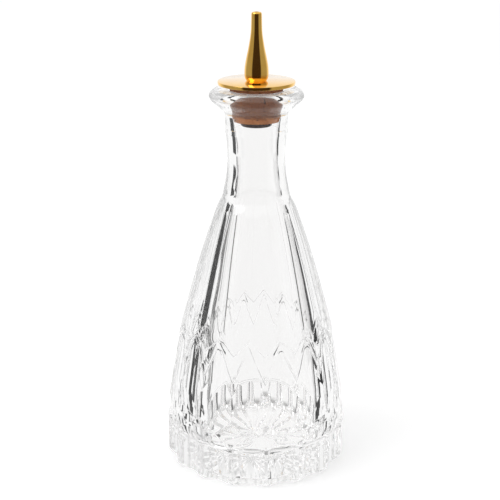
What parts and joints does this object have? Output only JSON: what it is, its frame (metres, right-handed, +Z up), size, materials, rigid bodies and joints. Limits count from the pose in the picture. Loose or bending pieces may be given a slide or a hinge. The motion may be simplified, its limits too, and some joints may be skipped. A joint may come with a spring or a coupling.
{
  "type": "bitters bottle",
  "caption": "Cut-glass dasher bottle with a pointed foot, fluted cone, waisted neck and flared lip, and a corked metal pouring spout that lifts out.",
  "frame": {"origin": "centre of the foot, on the plane that the bottle stands on", "axes": "+Z up along the bottle's axis; the foot's points lie at multiples of 22.5 degrees from +X"},
  "size_m": [0.0678, 0.0678, 0.169],
  "materials": {
    "clear_glass": "clear pressed and cut glass, fire polished",
    "polished_gold": "mirror-polished gold plating over turned brass",
    "cork": "natural cork with dark pores, unsealed",
    "dark_metal": "dark polished metal"
  },
  "bodies": {
    "bottle": {"glass_bottle": "clear_glass"},
    "stopper": {"pour_spout": "polished_gold", "cap_flange": "polished_gold", "cork_sleeve": "cork", "retaining_collar": "dark_metal"}
  },
  "joints": [
    {"name": "stopper_lift", "type": "slide", "parent": "bottle", "child": "stopper", "axis": [0, 0, 1], "range_m": [0, 0.04]}
  ]
}
